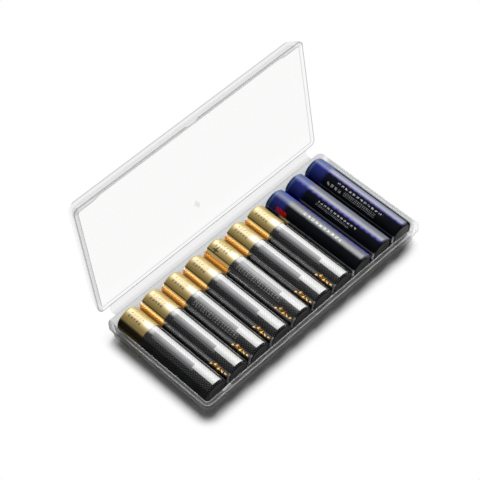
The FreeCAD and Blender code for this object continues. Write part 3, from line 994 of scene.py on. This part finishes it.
# %% [markdown]
# ## The seven gold and black cells
# Body, foil and dashes now come together. The left side is as bright as a mirror, so it is
# fully metallic and smooth there. On the foil, that side and its bright line also glow a
# little, as the dashes do: a painted reflection. The foil has a clear coat over it, and the
# foot, which turns in under the cell, is matt.

# %% Gold and black sleeves
FOIL_COAT_ROUGHNESS = 0.40
PAINTED_GLINT_COLOUR = rgb(0.72, 0.42, 0.10)
GOLD_ROLLS = {1: 1, 2: 0, 3: 2, 4: 0, 5: 8, 6: 1, 7: 0}


def gold_black_sleeve(cell, roll):
    """One cell's print, turned by roll degrees."""
    material, shader, start = new_material(f"gold_black_{cell}")
    along, around = sleeve_directions(start, cell, roll)
    bands = {name: around.between(*band) for name, band in BANDS.items()}
    gold = 1 - along.rise(*GOLD_ENDS)
    ink = blend_colour(gold, black_body(cell, along, around, bands),
                       gold_top(cell, along, around, bands))
    metallic = gold * 0.35
    roughness = 0.42 + 0.12 * gold - bands["edge"] * 0.25 * (1 - gold)
    matt = along.rise(*FOOT_TURNS_IN)
    if cell == SHADED_CELL:
        matt = start.maths("MAXIMUM", matt, bands["mirror"])
    else:
        inside, colours, glint = foot_dashes(along, around)
        ink = blend_colour(inside, ink, colours)
        # Painted reflection: the foil's mirrored side and its bright line glow, and so do the
        # dashes.
        painted_reflection = gold * (bands["mirror"] * 0.10 + bands["line"] * 0.35)
        painted_glow = start.maths("MAXIMUM", glint, painted_reflection)
        shader.inputs["Emission Strength"].default_value = 1.0
        feed(shader, Emission_Color=blend_colour(painted_glow, grey(0), PAINTED_GLINT_COLOUR))
        metallic = start.maths("MAXIMUM", metallic, bands["mirror"])
        roughness = roughness - bands["mirror"] * 0.30
    shader.inputs["Coat Roughness"].default_value = FOIL_COAT_ROUGHNESS
    feed(shader, Coat_Weight=gold)
    finish_sleeve(start, shader, ink, metallic, roughness, matt)
    return material


for cell in GOLD_CELLS:
    sleeves[cell].data.materials.append(gold_black_sleeve(cell, GOLD_ROLLS[cell]))
print("gold and black sleeves", len(GOLD_ROLLS))

# %% [markdown]
# ## The three blue and black cells
# Three cells are navy at the top and black below, with a violet stripe and a slate side. The
# navy is painted lighter where it faces the lamp, and a paler ring at its shoulder is a
# painted highlight.
# Each lies turned another way, so each has its own places for them, kept in one record a
# cell. Only the part of the print that faces the lamp shines. The rest is matt, or the navy
# would mirror the white table and look pale.

# %% Places on each blue and black print
# Bands are low and high round the sleeve. The blot adds first and last along it before them.
BLUE_PRINTS = {
    8: dict(
        stripe=(3.0, 5.4),
        slate=(-0.4, 6.5),
        slate_colour=rgb(0.11, 0.12, 0.125),
        gloss=(-0.8, 2.8),
        blot=(5.0, 9.8, -5.4, -3.6),
        rows=[(14.6, 32.4, -0.6, 1.6, 1.9, 2.2)]),
    9: dict(
        stripe=(-0.9, 0.2),
        slate=(0.2, 5.0),
        slate_colour=rgb(0.14, 0.15, 0.19),
        gloss=(-0.2, 2.6),
        blot=None,
        rows=[(14.5, 32.5, -2.8, -1.6, 1.6, 1.2),
              (14.0, 30.0, -3.9, -3.0, 0.7, 0.6),
              (13.0, 36.0, -7.0, -6.3, 0.9, 0.7)]),
    10: dict(
        stripe=(-0.3, 0.3),
        slate=(0.4, 2.8),
        slate_colour=rgb(0.19, 0.20, 0.30),
        gloss=(0.3, 2.8),
        blot=(4.5, 7.5, -6.9, -5.8),
        rows=[(13.8, 35.5, -2.2, -0.9, 1.8, 1.3),
              (10.0, 17.0, -4.8, -2.7, 1.8, 2.1),
              (18.0, 33.0, -4.4, -2.7, 0.8, 0.65),
              (13.0, 36.0, -6.2, -5.6, 1.1, 0.7)]),
}
print("rows of bars", [len(places["rows"]) for places in BLUE_PRINTS.values()])

# %% Blue and black sleeves
NAVY_ENDS = (6.6, 8.8)
NAVY, NAVY_IN_LIGHT = rgb(0.020, 0.028, 0.16), rgb(0.09, 0.12, 0.27)
LIT_TOP = (0.2, 5.5, 0.8)
# A painted highlight on the shoulder.
SHOULDER_HIGHLIGHT_RING = (0.9, 1.9, 0.25)
BLUE_MIRROR_SIDE = (MIRROR_SIDE_FROM, -5.7, 0.3)
VIOLET = rgb(0.07, 0.06, 0.42)
BLOT_RED = rgb(0.70, 0.015, 0.015)
BAR_GREY = rgb(0.52, 0.53, 0.54)


def blue_black_sleeve(cell, stripe, slate, slate_colour, gloss, blot, rows):
    """A navy top, a black body, a violet stripe and a slate side; rows are small bars."""
    material, shader, start = new_material(f"blue_black_{cell}")
    along, around = sleeve_directions(start, cell, 0)
    navy = 1 - along.rise(*NAVY_ENDS)
    mirror_side = around.between(*BLUE_MIRROR_SIDE)
    ink = blend_colour(around.between(*slate, 0.8), rgb(0.008, 0.009, 0.012), slate_colour)
    ink = blend_colour(mirror_side, ink, rgb(0.5, 0.5, 0.52))
    # Painted light: the navy is lighter on the side that faces the lamp.
    ink = blend_colour(navy, ink, blend_colour(around.between(*LIT_TOP), NAVY, NAVY_IN_LIGHT))
    # Painted highlight: a paler ring where the film turns over the shoulder.
    ink = blend_colour(along.between(*SHOULDER_HIGHLIGHT_RING) * 0.6, ink, rgb(0.08, 0.14, 0.24))
    dashed = 0.6 + 0.4 * along.wave(2.6)
    stripe_mask = around.between(*stripe, 0.35) * along.rise(1.5, 3.0) * dashed
    ink = blend_colour(stripe_mask, ink, VIOLET)
    if blot:
        ragged = (along * 1.7 + around * 2.3).wave(3.1).rise(-0.9, -0.4)
        ink = blend_colour(box_mask(along, around, *blot, 0.25) * ragged, ink, BLOT_RED)
    for places in rows:
        ink = blend_colour(mark_rows(along, around, *places), ink, BAR_GREY)
    shine = around.between(*gloss, 0.7) * (1 - 0.5 * navy)
    shine = start.maths("MAXIMUM", shine, mirror_side) * (1 - along.rise(*FOOT_TURNS_IN))
    finish_sleeve(start, shader, ink, mirror_side, 0.42 - mirror_side * 0.25, 1 - shine)
    return material


for cell, places in BLUE_PRINTS.items():
    sleeves[cell].data.materials.append(blue_black_sleeve(cell, **places))
print("blue and black sleeves", len(BLUE_PRINTS))
